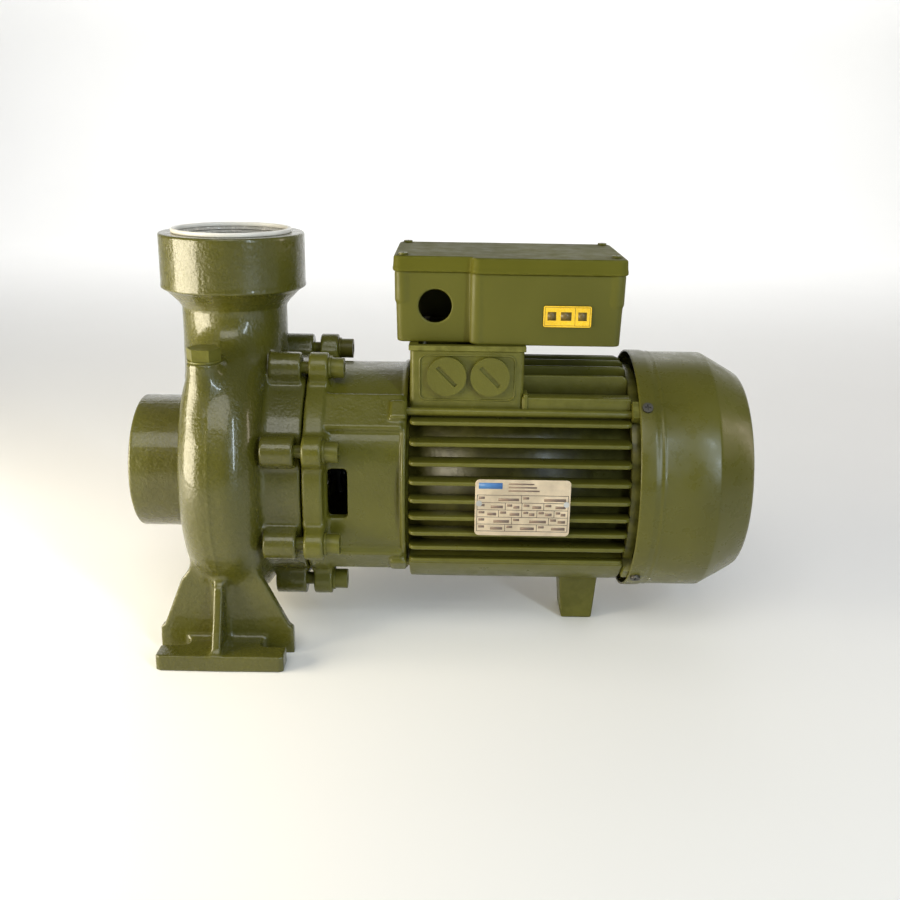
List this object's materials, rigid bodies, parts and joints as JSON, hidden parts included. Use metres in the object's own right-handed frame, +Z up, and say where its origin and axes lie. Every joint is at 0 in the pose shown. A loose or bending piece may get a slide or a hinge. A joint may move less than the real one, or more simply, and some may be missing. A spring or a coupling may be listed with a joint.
{
  "type": "centrifugal water pump",
  "caption": "Close-coupled centrifugal water pump with a cast volute on feet, bolted lantern bracket, finned motor, terminal box, fan and fan cover, and a rotor that turns on bearings",
  "frame": {"origin": "centre of the foot bolt pattern on the base plane, below the discharge port and on the pump's middle plane", "axes": "+X along the shaft from the suction port to the fan end, +Y to the far side, +Z up"},
  "size_m": [0.488, 0.2416, 0.3248],
  "materials": {
    "cast_paint": "satin green enamel over cast iron",
    "housing_paint": "satin green enamel",
    "box_paint": "satin green enamel",
    "plug_paint": "satin green enamel",
    "bronze": "machined",
    "white_ring": "matte",
    "black_rubber": "matte",
    "copper": "annealed",
    "black_steel": "black oxide",
    "zinc_steel": "zinc plated",
    "ceramic_seat": "lapped",
    "carbon": "lapped",
    "bearing_steel": "polished",
    "shaft_steel": "ground",
    "lamination": "stacked laminations",
    "black_plastic": "moulded",
    "phenolic": "moulded",
    "brass_stud": "turned",
    "white_can": "moulded",
    "plate_metal": "satin",
    "label_film": "gloss"
  },
  "bodies": {
    "stator": {"volute_casing": "cast_paint", "wear_ring": "bronze", "port_ring": "white_ring", "casing_o_ring": "black_rubber", "priming_plug": "plug_paint", "priming_plug_washer": "copper", "drain_plug": "plug_paint", "flange_bolts": "plug_paint", "flange_washers": "zinc_steel", "motor_bracket": "cast_paint", "seal_seat": "ceramic_seat", "front_bearing_outer": "bearing_steel", "front_bearing_balls": "bearing_steel", "rear_bearing_outer": "bearing_steel", "rear_bearing_balls": "bearing_steel", "wave_washer": "zinc_steel", "stator_core": "lamination", "stator_winding": "copper", "motor_housing": "housing_paint", "rear_end_shield": "cast_paint", "tie_rods": "zinc_steel", "tie_rod_nuts": "zinc_steel", "support_foot": "cast_paint", "support_foot_screw": "black_steel", "fan_cover": "housing_paint", "fan_cover_screws": "zinc_steel", "box_gasket": "black_rubber", "blanking_plugs": "plug_paint", "plug_seals": "black_rubber", "terminal_board": "phenolic", "terminal_studs": "brass_stud", "terminal_nuts": "brass_stud", "earth_screw": "brass_stud", "run_capacitor": "white_can", "capacitor_clip": "zinc_steel", "box_body": "box_paint", "box_screws": "zinc_steel", "lid_gasket": "black_rubber", "box_lid": "box_paint", "lid_screws": "plug_paint", "nameplate": "plate_metal", "nameplate_rivets": "plate_metal", "info_label": "label_film"},
    "rotor": {"shaft": "shaft_steel", "impeller": "bronze", "impeller_key": "shaft_steel", "impeller_washer": "shaft_steel", "impeller_nut": "shaft_steel", "seal_rotating_ring": "carbon", "seal_bellows": "black_rubber", "seal_spring": "shaft_steel", "slinger": "black_rubber", "front_bearing_inner": "bearing_steel", "rear_bearing_inner": "bearing_steel", "rotor_core": "lamination", "cooling_fan": "black_plastic", "fan_clip": "shaft_steel"}
  },
  "joints": [
    {"name": "rotor_spin", "type": "hinge", "parent": "stator", "child": "rotor", "pos_m": [0.13, 0, 0.132], "axis": [1, 0, 0], "continuous": true}
  ]
}
